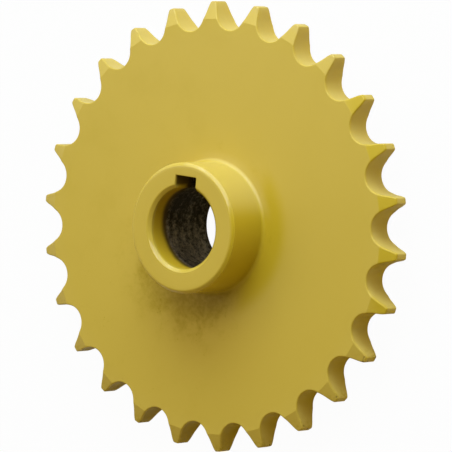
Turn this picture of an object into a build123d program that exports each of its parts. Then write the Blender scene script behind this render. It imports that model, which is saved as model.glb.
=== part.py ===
from build123d import *
import os
from math import acos, atan2, cos, degrees, radians, sin

os.makedirs("parts", exist_ok=True)

# A one-piece steel sprocket for roller chain: a toothed plate turned in one with a
# hub that stands out on both sides of it, bored and keyed for a shaft.
# The bore's axis is Z, z = 0 is the hub's short rear end, and the long nose points up.
# All sizes are in millimetres.

# Chain
chain_pitch = 15.875
roller_diameter = 10.16

# Teeth
tooth_count = 26
seat_clearance = 0.4          # the seat's diameter beyond the roller's
tip_height = 3.4              # tip circle's radius beyond the pitch circle's
side_chamfer_depth = 1.75     # along the axis, at the tips, on both faces
side_chamfer_width = 5.5      # inwards from the tips

# Toothed plate and hub
plate_thickness = 8.6
hub_diameter = 40.0
nose_length = 14.8            # from the plate's front face
tail_length = 5.6             # from the plate's rear face
hub_edge_chamfer = 0.9
hub_root_fillet = 1.2

# Bore and keyway
bore_diameter = 25.0
bore_edge_chamfer = 1.0
keyway_width = 8.0
keyway_depth = 3.4            # beyond the bore's wall, on the keyway's centre line
keyway_corner_radius = 0.3

# How far a cutter runs past the surface that it leaves
cutter_overrun = 1.0

# Worked out from the sizes above
half_pitch_angle = 180 / tooth_count
pitch_radius = chain_pitch / 2 / sin(radians(half_pitch_angle))
tip_radius = pitch_radius + tip_height
hub_radius = hub_diameter / 2
bore_radius = bore_diameter / 2
plate_back = tail_length
plate_front = plate_back + plate_thickness
hub_length = plate_front + nose_length


def turned_blank():
    """The blank as it leaves the lathe: half its section, turned about Z."""
    back_root = (hub_radius, plate_back)
    front_root = (hub_radius, plate_front)
    corners = [
        (bore_radius + bore_edge_chamfer, 0),
        (hub_radius - hub_edge_chamfer, 0),
        (hub_radius, hub_edge_chamfer),
        back_root,
        (tip_radius - side_chamfer_width, plate_back),
        (tip_radius, plate_back + side_chamfer_depth),
        (tip_radius, plate_front - side_chamfer_depth),
        (tip_radius - side_chamfer_width, plate_front),
        front_root,
        (hub_radius, hub_length - hub_edge_chamfer),
        (hub_radius - hub_edge_chamfer, hub_length),
        (bore_radius + bore_edge_chamfer, hub_length),
        (bore_radius, hub_length - bore_edge_chamfer),
        (bore_radius, bore_edge_chamfer),
    ]
    section = make_face(Polyline(*corners, close=True))
    for root in (back_root, front_root):
        corner = section.vertices().sort_by_distance(root)[0]
        section = fillet(corner, hub_root_fillet)
    return revolve(Plane.XZ * section, Axis.Z)


def keyway():
    """The broached slot for the key, on the bore's +Y side, all along the hub."""
    floor = bore_radius + keyway_depth
    slot = Rectangle(keyway_width, floor, align=(Align.CENTER, Align.MIN))
    slot = fillet(slot.vertices().group_by(Axis.Y)[-1], keyway_corner_radius)
    cutter = extrude(slot, hub_length + 2 * cutter_overrun)
    return Pos(0, 0, -cutter_overrun) * cutter


def tooth_space():
    """The gap between two teeth, centred on +Y: the seat that a roller lies in, then
    on each side the working curve, a short straight flank and the topping curve."""
    seat_radius = (1.005 * roller_diameter + seat_clearance) / 2
    seat_end = 35 + 60 / tooth_count
    working_sweep = 18 - 56 / tooth_count
    flank_angle = working_sweep - seat_end
    normal = Vector(cos(radians(flank_angle)), sin(radians(flank_angle)))

    seat_centre = Vector(0, pitch_radius)
    seat_bottom = seat_centre - Vector(0, seat_radius)
    seat = CenterArc(seat_centre, seat_radius, -90, 90 - seat_end)

    working_reach = 0.8 * roller_diameter
    working_radius = working_reach + seat_radius
    to_seat_end = Vector(cos(radians(seat_end)), -sin(radians(seat_end)))
    working_centre = seat_centre - to_seat_end * working_reach
    working = CenterArc(working_centre, working_radius, -seat_end, working_sweep)

    topping_reach = 1.4 * roller_diameter
    to_topping = Vector(cos(radians(half_pitch_angle)), -sin(radians(half_pitch_angle)))
    topping_centre = seat_centre + to_topping * topping_reach
    flank_start = working_centre + normal * working_radius
    topping_radius = (topping_centre - flank_start).dot(normal)
    flank = Line(flank_start, topping_centre - normal * topping_radius)

    # The topping curve ends where it crosses a circle just outside the tips
    outer_radius = tip_radius + cutter_overrun
    centre_distance = topping_centre.length
    inward = degrees(atan2(-topping_centre.Y, -topping_centre.X)) + 360
    opening = degrees(acos((centre_distance**2 + topping_radius**2 - outer_radius**2)
                           / (2 * centre_distance * topping_radius)))
    topping_start = 180 + flank_angle
    topping_end = inward - opening
    topping = CenterArc(topping_centre, topping_radius, topping_start,
                        topping_end - topping_start)
    mouth_end = topping @ 1
    mouth_angle = degrees(atan2(mouth_end.Y, mouth_end.X))
    mouth = CenterArc((0, 0), outer_radius, mouth_angle, 90 - mouth_angle)
    middle = Line((0, outer_radius), seat_bottom)

    half = make_face([seat, working, flank, topping, mouth, middle])
    outline = half + mirror(half, Plane.YZ)
    cutter = extrude(outline, plate_thickness + 2 * cutter_overrun)
    return Pos(0, 0, plate_back - cutter_overrun) * cutter


def chain_sprocket():
    """The blank with its keyway broached and its teeth cut, a tooth space over the
    keyway."""
    spaces = PolarLocations(0, tooth_count) * tooth_space()
    sprocket = turned_blank() - keyway() - spaces
    sprocket.label = "sprocket"
    return sprocket


export_step(chain_sprocket(), "parts/sprocket.step")
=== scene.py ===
from math import acos, atan2, cos, pi, radians, sin, sqrt

import bmesh
import bpy
from mathutils import Matrix, Vector


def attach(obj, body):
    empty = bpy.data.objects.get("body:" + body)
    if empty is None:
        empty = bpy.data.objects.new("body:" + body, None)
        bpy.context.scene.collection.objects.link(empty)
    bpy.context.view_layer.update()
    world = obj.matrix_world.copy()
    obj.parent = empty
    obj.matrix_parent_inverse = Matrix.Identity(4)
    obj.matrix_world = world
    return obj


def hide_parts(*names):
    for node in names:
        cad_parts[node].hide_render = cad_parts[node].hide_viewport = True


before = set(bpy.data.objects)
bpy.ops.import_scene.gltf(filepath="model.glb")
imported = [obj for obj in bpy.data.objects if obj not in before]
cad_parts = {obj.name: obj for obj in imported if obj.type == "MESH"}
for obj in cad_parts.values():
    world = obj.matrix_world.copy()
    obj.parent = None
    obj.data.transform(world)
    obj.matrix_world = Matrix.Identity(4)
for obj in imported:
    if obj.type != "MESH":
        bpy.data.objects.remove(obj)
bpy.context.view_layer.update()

scene = bpy.context.scene

# ---------------------------------------------------------------------------------------
# Toothed plate. The sprocket is one piece of steel: a blank is turned with its hub, and
# the gaps for the chain's rollers are hobbed into its rim. The tooth tips are turned thin
# on both faces, and the paint rounds every edge. Millimetres, until the mesh is finished.
# ---------------------------------------------------------------------------------------
tooth_count = 26
chain_pitch = 15.875
roller_diameter = 10.16
seat_clearance = 0.4                # the seat's diameter beyond the roller's
tip_height = 3.398                  # the tip circle's radius beyond the pitch circle's
facet_width = 5.5                   # how far in from the tips they are thinned
facet_depth = 1.75                  # how much each face has lost at the tips
plate_back, plate_front = 5.6, 14.2
painted_edge = 0.36                 # radius that the paint gives the teeth's edges
tip_corner = 0.6                    # radius of each tip's two corners, seen from the side
edge_steps = 5                      # facets across each painted edge
touching = 1e-3                     # vertices this near to each other are joined
millimetre = 0.001                  # in metres

half_pitch = pi / tooth_count
pitch_radius = chain_pitch / 2 / sin(half_pitch)
tip_radius = pitch_radius + tip_height
facet_radius = tip_radius - facet_width
facet_slope = facet_depth / facet_width
plate_middle = (plate_back + plate_front) / 2


def heading(angle):
    """A step of 1 across the plate, at an angle from +X."""
    return Vector((cos(angle), sin(angle), 0))


def heading_to(point):
    return atan2(point.y, point.x)


# A gap has the standard form: the seat that a roller lies in, then on each side the
# working curve, a short straight flank and the topping curve
seat_radius = (1.005 * roller_diameter + seat_clearance) / 2
seat_centre = Vector((0, pitch_radius, 0))
seat_end = radians(35 + 60 / tooth_count)
working_sweep = radians(18 - 56 / tooth_count)
working_reach = 0.8 * roller_diameter
working_radius = working_reach + seat_radius
working_centre = seat_centre - working_reach * heading(-seat_end)
flank_angle = working_sweep - seat_end
flank_normal = heading(flank_angle)
topping_reach = 1.4 * roller_diameter
topping_centre = seat_centre + topping_reach * heading(-half_pitch)
topping_radius = (topping_centre - working_centre).dot(flank_normal) - working_radius


def arc(mesh, start, centre, sweep, steps):
    """Carries a line on from a vertex, round a centre, and gives its new end."""
    turned = bmesh.ops.spin(mesh, geom=[start], cent=centre, axis=(0, 0, 1),
                            angle=sweep, steps=steps)
    return turned["geom_last"][0]


def line(mesh, start, end):
    """Carries a line straight on from a vertex, and gives its new end."""
    tip = bmesh.ops.extrude_vert_indiv(mesh, verts=[start])["verts"][0]
    tip.co = end
    return tip


def edges_among(verts):
    """The edges with both ends among some vertices."""
    verts = set(verts)
    return [edge for edge in {e for v in verts for e in v.link_edges}
            if set(edge.verts) <= verts]


def crossing(centre, radius, distance):
    """How far round a circle, from its side away from the bore's axis, its points are
    that lie at a distance from the axis."""
    reach = centre.length
    return acos((distance**2 - reach**2 - radius**2) / (2 * reach * radius))


def half_gap(mesh, inset):
    """Draws the rim from the bottom of a gap to the middle of the next tooth's tip, this
    far inside the metal's edge, and gives its vertices."""
    before = set(mesh.verts)
    end = mesh.verts.new(seat_centre - Vector((0, seat_radius + inset, 0)))
    end = arc(mesh, end, seat_centre, pi / 2 - seat_end, steps=9)

    # The working curve has a vertex where the thinned tip begins
    radius = working_radius + inset
    to_facet = heading_to(working_centre) - crossing(working_centre, radius, facet_radius)
    end = arc(mesh, end, working_centre, to_facet + seat_end, steps=2)
    end = arc(mesh, end, working_centre, flank_angle - to_facet, steps=4)
    end = line(mesh, end, topping_centre - flank_normal * (topping_radius - inset))

    # The tip's corner touches the topping curve and the tip circle from inside
    corner_reach = topping_radius - tip_corner
    turn = heading_to(topping_centre) + crossing(topping_centre, corner_reach,
                                                 tip_radius - tip_corner)
    corner_centre = topping_centre + corner_reach * heading(turn)
    corner_angle = heading_to(corner_centre)
    end = arc(mesh, end, topping_centre, turn - pi - flank_angle, steps=4)
    end = arc(mesh, end, corner_centre, corner_angle - turn, steps=4)
    arc(mesh, end, (0, 0, 0), pi / 2 - half_pitch - corner_angle, steps=1)
    return list(set(mesh.verts) - before)


def face_height(vert):
    """The plate's front face at a vertex, which falls away over the tips."""
    beyond = max(0, vert.co.xy.length - facet_radius)
    return plate_front - facet_slope * beyond


def mirrored(mesh, verts, axis, middle=0.0):
    """Adds the mirror image of part of the mesh, and joins the two."""
    geometry = set(verts)
    for vert in verts:
        geometry.update(vert.link_edges, vert.link_faces)
    bmesh.ops.mirror(mesh, geom=list(geometry), axis=axis, merge_dist=touching,
                     matrix=Matrix.Translation((0, 0, -middle)))


# Half a gap's wall, from the plate's middle up to the face, over the painted edge
body = bmesh.new()
ring = half_gap(body, 0)
for vert in ring:
    vert.co.z = plate_middle
for step in range(edge_steps + 1):
    turn = pi / 2 * step / edge_steps
    last, ring = ring, half_gap(body, painted_edge * (1 - cos(turn)))
    for vert in ring:
        vert.co.z = face_height(vert) - painted_edge * (1 - sin(turn))
    bmesh.ops.bridge_loops(body, edges=edges_among(last) + edges_among(ring))

# The tip's facet runs in to the flat face, which is closed once the hub is there
facet = bmesh.ops.extrude_edge_only(body, edges=edges_among(ring))["geom"]
for vert in (item for item in facet if isinstance(item, bmesh.types.BMVert)):
    vert.co.xy *= min(1, facet_radius / vert.co.xy.length)
    vert.co.z = plate_front
bmesh.ops.remove_doubles(body, verts=body.verts, dist=touching)
mirrored(body, body.verts, "Z", plate_middle)
mirrored(body, body.verts, "X")
bmesh.ops.spin(body, geom=[*body.verts, *body.edges, *body.faces], cent=(0, 0, 0),
               axis=(0, 0, 1), angle=2 * pi * (1 - 1 / tooth_count),
               steps=tooth_count - 1, use_duplicate=True)
bmesh.ops.remove_doubles(body, verts=body.verts, dist=touching)

# ---------------------------------------------------------------------------------------
# Hub. A long nose in front of the plate and a short tail behind it are turned with it,
# with a small radius where they meet the plate and a chamfered outer edge at each end.
# ---------------------------------------------------------------------------------------
hub_radius = 20.0
hub_length = 29.0
hub_chamfer = 0.9
chamfer_rounding = 0.28             # how far back the paint rounds a chamfer's edges
root_radius = 1.2
root_reach = 1.5 * root_radius      # where on the plate's face the hub's profile starts
lathe_steps = 208                   # facets round the hub
bevel = dict(offset_type="OFFSET", profile=0.5, affect="VERTICES", material=-1)


def joined(part):
    """Joins a finished part of the surface to the body's."""
    mesh = bpy.data.meshes.new("part")
    part.to_mesh(mesh)
    part.free()
    body.from_mesh(mesh)
    bpy.data.meshes.remove(mesh)


def close_face(height, inner, outer):
    """Closes the flat face at a height between its open rims, which lie between two
    distances from the bore's axis."""
    rims = [edge for edge in body.edges if len(edge.link_faces) < 2 and all(
        abs(vert.co.z - height) < touching and inner < vert.co.xy.length < outer
        for vert in edge.verts)]
    bmesh.ops.triangle_fill(body, edges=rims, use_beauty=True)


# Each end is one profile, drawn from the plate's face in to the root, up the hub's side
# and over its chamfer on to the end face, and turned round the bore's axis
for plate_face, end in ((plate_front, hub_length), (plate_back, 0)):
    outside = bmesh.new()
    chamfer = hub_chamfer if end > plate_face else -hub_chamfer
    tip = outside.verts.new((hub_radius + root_reach, 0, plate_face))
    root = tip = line(outside, tip, (hub_radius, 0, plate_face))
    side = tip = line(outside, tip, (hub_radius, 0, end - chamfer))
    rim = tip = line(outside, tip, (hub_radius - hub_chamfer, 0, end))
    line(outside, tip, (hub_radius - 2 * hub_chamfer, 0, end))
    bmesh.ops.bevel(outside, geom=[root], offset=root_radius, segments=8, **bevel)
    bmesh.ops.bevel(outside, geom=[side, rim], offset=chamfer_rounding, segments=3,
                    **bevel)
    bmesh.ops.spin(outside, geom=[*outside.verts, *outside.edges], cent=(0, 0, 0),
                   axis=(0, 0, 1), angle=2 * pi, steps=lathe_steps, use_merge=True)
    joined(outside)
    close_face(plate_face, hub_radius, tip_radius)

# ---------------------------------------------------------------------------------------
# Bore and keyway. The bore is chamfered at both ends, and a keyway is broached along
# the whole of it, in line with one of the rim's gaps.
# ---------------------------------------------------------------------------------------
bore_radius = 12.5
bore_chamfer = 1.0
keyway_width = 8.0
keyway_depth = 3.4
keyway_floor = bore_radius + keyway_depth
keyway_corner = 0.3                 # rounding of the floor's two corners
keyway_mouth = 0.15                 # and of the edges where it opens into the bore
bore_steps = 90                     # facets round half the bore
# From a face inwards: depth, the bore's radius there, and how far the keyway's painted
# edge has opened out
lip = ((0.0, 13.62, 0.22), (0.04, 13.5, 0.1), (0.14, 13.36, 0.02), (0.87, 12.63, 0.0),
       (1.02, 12.53, 0.0), (1.2, bore_radius, 0.0))


def keyed_outline(mesh, radius, opened, height):
    """Draws the bore's outline with its keyway, at a height."""
    before = set(mesh.verts)
    side, floor = keyway_width / 2 + opened, keyway_floor + opened
    end = mesh.verts.new((0, floor, height))
    corner = end = line(mesh, end, (side, floor, height))
    mouth = end = line(mesh, end, (side, sqrt(radius**2 - side**2), height))
    arc(mesh, end, (0, 0, height), -pi / 2 - acos(side / radius), bore_steps)
    bmesh.ops.bevel(mesh, geom=[corner], offset=keyway_corner, segments=3, **bevel)
    bmesh.ops.bevel(mesh, geom=[mouth], offset=keyway_mouth, segments=2, **bevel)
    mirrored(mesh, set(mesh.verts) - before, "X")
    return list(set(mesh.verts) - before)


levels = [(hub_length - depth, radius, opened) for depth, radius, opened in lip]
levels += reversed(lip)
bore = bmesh.new()
ring = None
for height, radius, opened in levels:
    last, ring = ring, keyed_outline(bore, radius, opened, height)
    if last:
        bmesh.ops.bridge_loops(bore, edges=edges_among(last) + edges_among(ring))
joined(bore)
for end in (hub_length, 0):
    close_face(end, bore_radius, hub_radius)
bmesh.ops.remove_doubles(body, verts=body.verts, dist=touching)
bmesh.ops.recalc_face_normals(body, faces=body.faces)

# The tips' facets meet the flat face in a crisp line, and all else is smooth
for edge in body.edges:
    edge.smooth = any(abs(vert.co.xy.length - facet_radius) > touching
                      for vert in edge.verts)
for face in body.faces:
    face.smooth = True
bmesh.ops.scale(body, vec=(millimetre,) * 3, verts=body.verts)
sprocket_mesh = bpy.data.meshes.new("painted_sprocket")
body.to_mesh(sprocket_mesh)
body.free()
sprocket = bpy.data.objects.new("painted_sprocket", sprocket_mesh)
scene.collection.objects.link(sprocket)
weighted = sprocket.modifiers.new("weighted", "WEIGHTED_NORMAL")
weighted.keep_sharp = True

# ---------------------------------------------------------------------------------------
# Finish. Semi-gloss yellow machine paint is sprayed on and reaches a little way into the
# bore, where it ends in a thin matt coat, deepened with painted shade, and a dark edge on
# bare steel. Use has left grime and small chips on it. Painted shade also darkens one
# side of the hub, its foot and the lowest gaps, painted light brightens the hub's upper
# side, and a painted sheen lightens the gaps' walls.
# ---------------------------------------------------------------------------------------
paint_colour = (0.571, 0.432, 0.062, 1)
# The coat's colour where painted shade darkens it
shade_colour = (0.53, 0.395, 0.018, 1)
# The coat's colour where painted light brightens it
painted_light_colour = (0.6, 0.47, 0.105, 1)
# The bore's thin lining, deeper and darker with painted shade
lining_and_shade_colour = (0.52, 0.355, 0.012, 1)
overspray_colour = (0.075, 0.043, 0.001, 1)
# Grime, and the painted shade laid on the plate with it
grime_and_shade_colour = (0.37, 0.265, 0.001, 1)
# A painted sheen, lighter and creamier than the coat
sheen_colour = (0.55, 0.425, 0.1, 1)
chip_colour = (0.06, 0.036, 0.008, 1)
steel_light = (0.75, 0.65, 0.48, 1)
steel_dark = (0.085, 0.065, 0.035, 1)
spray_depth = 5.4                   # how far in from the nose's end the paint reaches
tail_overspray = 1.6                # and from the tail's
paint_roughness = 0.268             # at its glossiest
roughness_spread = 0.06             # what its blotches add to that, at most
chamfer_polish = 0.17               # how much less it is on the turned chamfers
relief_unit = 0.00001               # what a height of 1 stands for, in metres
dimple_height = 0.25                # of the paint's orange peel
pit_depth = 4.0                     # of the bare steel's pits and of the chips
# Directions across the plate, in degrees from +X towards +Y
low_bearing = 238                   # the side with grime and painted shade
shade_bearing = -10                 # where painted shade deepens the coat on the hub and beside it
shaded_tips_bearing = 15             # where painted shade deepens it on the tips
lit_bearing = 60                   # where painted light makes it paler on the hub


class Nodes:
    """Adds nodes to a material. Inputs are given by name, or by number as _0, _1 and so
    on, and are linked where they are sockets."""

    def __init__(self, tree):
        self.tree = tree
        tree.nodes.clear()

    def add(self, kind, settings=None, **inputs):
        node = self.tree.nodes.new(kind)
        for name, value in (settings or {}).items():
            setattr(node, name, value)
        for name, value in inputs.items():
            key = int(name[1:]) if name[0] == "_" else name.replace("_", " ")
            if isinstance(value, bpy.types.NodeSocket):
                self.tree.links.new(value, node.inputs[key])
            else:
                node.inputs[key].default_value = value
        return node

    def math(self, operation, first, second=0.0, third=0.0):
        return self.add("ShaderNodeMath", {"operation": operation},
                        _0=first, _1=second, _2=third).outputs[0]

    def plus(self, first, second):
        return self.math("ADD", first, second)

    def minus(self, first, second):
        return self.math("SUBTRACT", first, second)

    def times(self, value, *factors):
        for factor in factors:
            value = self.math("MULTIPLY", value, factor)
        return value

    def times_plus(self, value, factor, added):
        return self.math("MULTIPLY_ADD", value, factor, added)

    def larger(self, first, second):
        return self.math("MAXIMUM", first, second)

    def smooth(self, value, start, end, low=0.0, high=1.0):
        """Goes smoothly from low to high as a value goes from start to end."""
        return self.add("ShaderNodeMapRange", {"interpolation_type": "SMOOTHSTEP"},
                        _0=value, _1=start, _2=end, _3=low, _4=high).outputs[0]

    def scaled(self, place, factors):
        return self.add("ShaderNodeVectorMath", {"operation": "MULTIPLY"},
                        _0=place, _1=factors).outputs[0]

    def toward(self, place, bearing):
        """How far a place lies from the bore's axis in the direction of a bearing."""
        direction = (cos(radians(bearing)), sin(radians(bearing)), 0)
        return self.add("ShaderNodeVectorMath", {"operation": "DOT_PRODUCT"},
                        _0=place, _1=direction).outputs[1]

    def noise(self, place, size, detail=2.0, roughness=0.5):
        """Noise whose blotches are about this many millimetres across."""
        return self.add("ShaderNodeTexNoise", Vector=place, Scale=1 / size, Detail=detail,
                        Roughness=roughness).outputs[0]

    def blend(self, share, first, second):
        """Goes from the first colour to the second as a share goes from 0 to 1."""
        return self.add("ShaderNodeMix", {"data_type": "RGBA"},
                        _0=share, _6=first, _7=second).outputs[2]


finish = bpy.data.materials.new("machine_paint")
finish.use_nodes = True
made = Nodes(finish.node_tree)
place = made.add("ShaderNodeTexCoord").outputs["Object"]
place = made.scaled(place, (1 / millimetre,) * 3)
across, along, height = made.add("ShaderNodeSeparateXYZ", Vector=place).outputs
reach = made.add("ShaderNodeVectorMath", {"operation": "LENGTH"},
                 _0=made.scaled(place, (1, 1, 0))).outputs[1]
low_side = made.math("DIVIDE", made.toward(place, low_bearing), reach)

# Inside the bore and keyway the coat is a thin lining, deeper and darker in colour with
# painted shade, then a dark overspray with a ragged edge, farther in on the low side, and
# past that the steel is bare. The lining and the overspray also take in the tail's end,
# on its end face as far out as inside goes.
inside = made.math("LESS_THAN", reach, (keyway_floor + hub_radius - hub_chamfer) / 2)
wander = made.times_plus(made.noise(place, 5.0, 3.0), 1.4, -0.7)
depth = made.plus(made.minus(hub_length, height), wander)
slant = made.times(low_side, made.larger(low_side, 0.0))
past_spray = made.minus(depth, made.times_plus(slant, 1.5, spray_depth))
lining = made.times(made.smooth(depth, 1.0, 2.5), inside)
in_keyway = made.times(made.smooth(reach, bore_radius + 0.3, bore_radius + 1.5),
                       made.smooth(height, hub_length - 0.2, hub_length - 1.2))
overspray = made.larger(made.smooth(past_spray, -1.2, 1.3), made.times(in_keyway, 0.88))
overspray = made.times(overspray, inside)
off_tail = made.smooth(height, tail_overspray - 0.5, tail_overspray + 0.5)
bare = made.times(made.smooth(past_spray, 1.2, 3.0), off_tail, inside)
painted = made.minus(1.0, bare)

# Grime and painted shade lie on the plate on the hub's low side, darkest at its foot,
# where its shadow falls, and ragged farther out, with flecks of grime round it and a few
# faint smudges elsewhere on the plate
on_face = made.times(made.math("GREATER_THAN", reach, hub_radius),
                     made.smooth(height, plate_front + 0.7, plate_front))
ragged = made.times_plus(made.noise(place, 8.0, 9.0, 0.66), 2.6, -2.4)
grime_and_shade_spread = made.plus(made.smooth(low_side, 0.2, 0.95), made.smooth(reach, 42.0, 20.0))
grime_and_shade_spread = made.plus(grime_and_shade_spread, ragged)
grain = made.smooth(made.noise(place, 1.6, 4.0, 0.6), 0.36, 0.6, 0.65, 1.15)
grime_and_shade = made.times(made.smooth(grime_and_shade_spread, -0.1, 0.9), on_face,
                   made.smooth(reach, 46.0, 32.0), grain)
flecks = made.times(made.smooth(made.noise(place, 0.8), 0.66, 0.72),
                    made.smooth(grime_and_shade_spread, -0.1, 0.3), on_face,
                    made.smooth(low_side, 0.2, 0.6))
smudges = made.times(made.smooth(made.noise(place, 16.0, 7.0, 0.62), 0.45, 0.75),
                     made.smooth(across, 30.0, -30.0, 0.2, 1.0))

# Painted shade makes the coat darker and deeper in colour down one side of the hub, on
# the plate beside it and on the tips beyond, and painted light makes it paler on the
# hub's upper side
facets = made.smooth(reach, facet_radius - 0.2, facet_radius + 0.5)
past_chamfer = made.smooth(reach, hub_radius - 1.1, hub_radius - 0.4)
shaded_tips = made.times(made.smooth(made.toward(place, shaded_tips_bearing), 50.0, 60.0),
                       facets)
painted_shade = made.times(made.smooth(made.toward(place, shade_bearing), 13.0, 19.0),
                  made.smooth(reach, 30.0, 25.0), past_chamfer)
painted_shade = made.larger(painted_shade, shaded_tips)
painted_light = made.times(made.smooth(reach, 24.0, 20.8), past_chamfer,
                  made.smooth(made.toward(place, lit_bearing), 14.0, 18.5))

# A painted sheen, lighter and creamier than the coat, lies on the walls of the gaps, on
# the upper teeth's tips and, thinly, on the facets, and painted shade darkens the walls
# of the lowest gaps. A wall is what lies under the skin of both faces.
tips = made.smooth(reach, facet_radius + 1.0, tip_radius)
thinned = made.times(made.larger(made.minus(reach, facet_radius), 0.0), facet_slope)
from_middle = made.math("ABSOLUTE", made.minus(height, plate_middle))
under_skin = made.minus(made.minus(plate_front - plate_middle, thinned), from_middle)
walls = made.times(made.smooth(under_skin, 0.3, 1.2), made.smooth(reach, 58.0, 61.0))
painted_sheen = made.larger(made.times(tips, made.smooth(along, 42.0, 58.0, 0.0, 0.8)),
                    made.times(facets, 0.3))
painted_sheen = made.larger(walls, made.times(painted_sheen, made.minus(1.0, shaded_tips)))
# Painted shade darkens the walls of the gaps on the low side
gap_shade = made.times(walls, made.smooth(low_side, 0.5, 1.0))

# The lower teeth are soiled and chipped at their ends, and small specks of the coat are
# knocked off here and there
soil = made.times(tips, made.smooth(made.noise(place, 1.8, 4.0, 0.6), 0.48, 0.62),
                  made.smooth(along, 10.0, -45.0))
chips = made.times(made.smooth(reach, tip_radius - 1.4, tip_radius - 0.2),
                   made.smooth(made.noise(place, 1.7, 3.0, 0.6), 0.6, 0.64),
                   made.math("LESS_THAN", along, -20.0))
cells = made.add("ShaderNodeTexVoronoi", Vector=place, Scale=1 / 9.0)
draw = made.add("ShaderNodeSeparateColor", _0=cells.outputs["Color"]).outputs[0]
specks = made.times(made.math("GREATER_THAN", draw, 0.85),
                    made.smooth(cells.outputs["Distance"], 0.045, 0.03))
chips = made.larger(chips, made.times(specks, 0.6))

paint = paint_colour
# Among these layers, painted shade darkens one side of the hub, the hub's foot on its low
# side and the lowest gaps, painted light brightens the hub's upper side, and a painted
# sheen lightens the gaps' walls and the upper tips
for share, layer_colour in (
        (made.smooth(made.noise(place, 30.0, 3.0), 0.3, 0.7, 0.0, 0.04), grime_and_shade_colour),
        (made.times(smudges, 0.12), grime_and_shade_colour),
        (made.times(painted_shade, 0.9), shade_colour),
        (painted_sheen, sheen_colour),
        (made.times(painted_light, 0.7), painted_light_colour),
        (made.times(soil, 0.45), grime_and_shade_colour),
        (made.times(gap_shade, 0.75), grime_and_shade_colour),
        (made.times(grime_and_shade, 0.75), grime_and_shade_colour),
        (made.times(flecks, 0.5), grime_and_shade_colour),
        (chips, chip_colour),
        (lining, lining_and_shade_colour),
        (overspray, overspray_colour)):
    paint = made.blend(share, paint, layer_colour)

# Steel: dark and pitted, with lighter rings where a shaft has rubbed, and lighter towards
# the low side as painted light
pits = made.noise(place, 1.1, 6.0, 0.75)
rings = made.noise(made.scaled(place, (0.15, 0.15, 1.0)), 2.2, 3.0, 0.6)
worn_and_lit = made.times_plus(made.plus(rings, made.noise(place, 7.0, 3.0)), 0.4, -0.4)
# Painted light: the steel is made lighter towards the low side
worn_and_lit = made.plus(worn_and_lit, made.times_plus(slant, 0.12, -0.07))
steel = made.blend(made.smooth(made.plus(pits, worn_and_lit), 0.36, 0.76),
                   steel_dark, steel_light)

# The paint is glossiest where it has drawn thin over the nose's turned chamfers, and dull
# where it is soiled, chipped or dry. Elsewhere its roughness is kept over 0.27 or so,
# under which a render's clean-up leaves faint rings on the flat plate.
outer_edge = hub_length + hub_radius - hub_chamfer
inner_edge = hub_length - bore_radius - bore_chamfer
chamfers = made.larger(
    made.smooth(made.plus(height, reach), outer_edge - 0.4, outer_edge - 0.1),
    made.smooth(made.minus(height, reach), inner_edge - 0.4, inner_edge - 0.1))
chamfers = made.times(chamfers, made.math("LESS_THAN", reach, hub_radius + 0.2))
roughness = made.times_plus(made.noise(place, 14.0, 3.0), roughness_spread,
                            paint_roughness)
roughness = made.plus(roughness, made.smooth(reach, 58.0, 62.0, 0.0, 0.1))
for share, change in (
        (made.larger(chips, soil), 0.25),
        (chamfers, -chamfer_polish),
        (bare, 0.2),
        (made.times(lining, painted), 0.3)):
    roughness = made.times_plus(share, change, roughness)

relief = made.times(made.noise(place, 1.4), painted, dimple_height)
relief = made.times_plus(made.times(pits, bare), pit_depth, relief)
relief = made.times_plus(chips, -pit_depth, relief)
bump = made.add("ShaderNodeBump", Strength=1.0, Distance=relief_unit, Height=relief)
shader = made.add("ShaderNodeBsdfPrincipled", Base_Color=made.blend(bare, paint, steel),
                  Metallic=bare, Roughness=roughness, IOR=1.5, Normal=bump.outputs[0])
made.add("ShaderNodeOutputMaterial", Surface=shader.outputs[0])
sprocket_mesh.materials.append(finish)
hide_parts("sprocket")
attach(sprocket, "root")

# ---------------------------------------------------------------------------------------
# Floor and room. The floor is white to the camera, with a faint shadow, and pale in
# reflections. The light that it and the room throw back on to the sprocket is tinted by
# the paint, as it is between painted parts laid close together.
# ---------------------------------------------------------------------------------------
white = (1, 1, 1, 1)
bounce_colour = (0.88, 0.72, 0.1, 1)
reflected_floor_colour = (0.6, 0.66, 0.68, 1)
room_colour = (1, 0.74, 0.16, 1)
room_strength = 0.2
room_shine = 0.05                   # how much of a white room shows in reflections
floor_glow = 0.97                   # how much of the floor is white, whatever its shadow
floor_reach = 3                     # metres from its middle to its sides
floor_drop = 0.0001                 # how far under the sprocket it lies, in metres

floor_shape = bmesh.new()
bmesh.ops.create_grid(floor_shape, x_segments=1, y_segments=1, size=floor_reach)
bmesh.ops.translate(floor_shape, vec=(0, 0, -floor_drop), verts=floor_shape.verts)
floor_mesh = bpy.data.meshes.new("floor")
floor_shape.to_mesh(floor_mesh)
floor_shape.free()
floor = bpy.data.objects.new("floor", floor_mesh)
scene.collection.objects.link(floor)


def ray_kinds(made):
    """Two shares: 1 for what the camera sees straight, and 1 for what it sees in a
    reflection or through glass."""
    path = made.add("ShaderNodeLightPath").outputs
    return path["Is Camera Ray"], made.larger(path["Is Glossy Ray"],
                                              path["Is Transmission Ray"])


floor_finish = bpy.data.materials.new("floor")
floor_finish.use_nodes = True
made = Nodes(floor_finish.node_tree)
direct, reflected = ray_kinds(made)
lit_colour = made.blend(made.larger(direct, reflected), bounce_colour,
                        reflected_floor_colour)
lit = made.add("ShaderNodeBsdfDiffuse", Color=lit_colour)
glow = made.add("ShaderNodeEmission", Color=white, Strength=1.0)
surface = made.add("ShaderNodeMixShader", _0=made.times(direct, floor_glow),
                   _1=lit.outputs[0], _2=glow.outputs[0])
made.add("ShaderNodeOutputMaterial", Surface=surface.outputs[0])
floor_mesh.materials.append(floor_finish)

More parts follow.
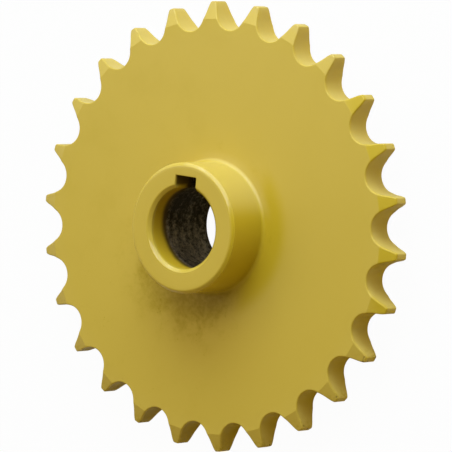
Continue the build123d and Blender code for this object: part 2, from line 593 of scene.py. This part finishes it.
scene.world = bpy.data.worlds.new("studio")
scene.world.use_nodes = True
made = Nodes(scene.world.node_tree)
direct, reflected = ray_kinds(made)
room = made.add("ShaderNodeBackground", Color=room_colour, Strength=room_strength)
glow = made.add("ShaderNodeBackground", Color=white, Strength=1.0)
share = made.larger(direct, made.times(reflected, room_shine))
surface = made.add("ShaderNodeMixShader", _0=share,
                   _1=room.outputs[0], _2=glow.outputs[0])
made.add("ShaderNodeOutputWorld", Surface=surface.outputs[0])

# ---------------------------------------------------------------------------------------
# Light. A wide cool bank on one side, brightest in its middle, and weaker boxes round it.
# ---------------------------------------------------------------------------------------


def softbox(name, bearing, rise, width, depth, power, colour):
    """Hangs a softbox 1 m from the sprocket, at a bearing and an angle over the floor."""
    lamp = bpy.data.lights.new(name, "AREA")
    lamp.shape = "RECTANGLE"
    lamp.size, lamp.size_y = width, depth
    lamp.energy = power
    lamp.color = colour
    bearing, rise = radians(bearing), radians(rise)
    direction = Vector((cos(rise) * cos(bearing), cos(rise) * sin(bearing), sin(rise)))
    holder = bpy.data.objects.new(name, lamp)
    holder.location = direction
    holder.rotation_mode = "QUATERNION"
    holder.rotation_quaternion = direction.to_track_quat("Z", "Y")
    holder.visible_camera = False
    scene.collection.objects.link(holder)
    return holder


# Name, bearing, rise, width, depth, power in watts, colour
softbox("key", 84, 22, 1.15, 0.7, 5.6, (0.74, 0.86, 1.0))
key_core = softbox("key_core", 86, 22, 0.8, 0.5, 5.5, (0.72, 0.85, 1.0))
key_core.visible_glossy = False     # its mirror image would burn out the flat plate
softbox("key_low", 66, 9, 0.5, 0.25, 1.0, (0.7, 0.8, 0.6))
softbox("key_side", 118, 14, 0.5, 0.45, 1.0, (0.65, 0.85, 1.0))
softbox("key_top", 66, 50, 0.7, 0.5, 3.7, (0.94, 0.92, 1.0))
softbox("back", 150, 46, 0.7, 0.6, 2.5, (0.9, 0.84, 0.76))
softbox("left", 176, 22, 1.1, 0.6, 1.1, (0.88, 0.9, 0.75))
softbox("fill", 290, 38, 1.4, 0.8, 0.8, (1.0, 0.8, 0.05))

# ---------------------------------------------------------------------------------------
# Camera. It looks down on the nose from one side, over a metre away.
# ---------------------------------------------------------------------------------------
frame_width = 452                   # pixels
focal_length = 4215                 # in the same pixels
right = (0.778837, 0.085948, -0.621310)
up = (-0.131141, 0.990988, -0.027304)
back = (0.613364, 0.102744, 0.783089)
stand = (0.796630, 0.133520, 1.024208)

camera_data = bpy.data.cameras.new("camera")
camera_data.lens = camera_data.sensor_width * focal_length / frame_width
camera_data.clip_end = 20
camera = bpy.data.objects.new("camera", camera_data)
aim = Matrix((right, up, back)).transposed().to_4x4()
camera.matrix_world = Matrix.Translation(stand) @ aim
scene.collection.objects.link(camera)
scene.camera = camera
scene.view_settings.view_transform = "Standard"
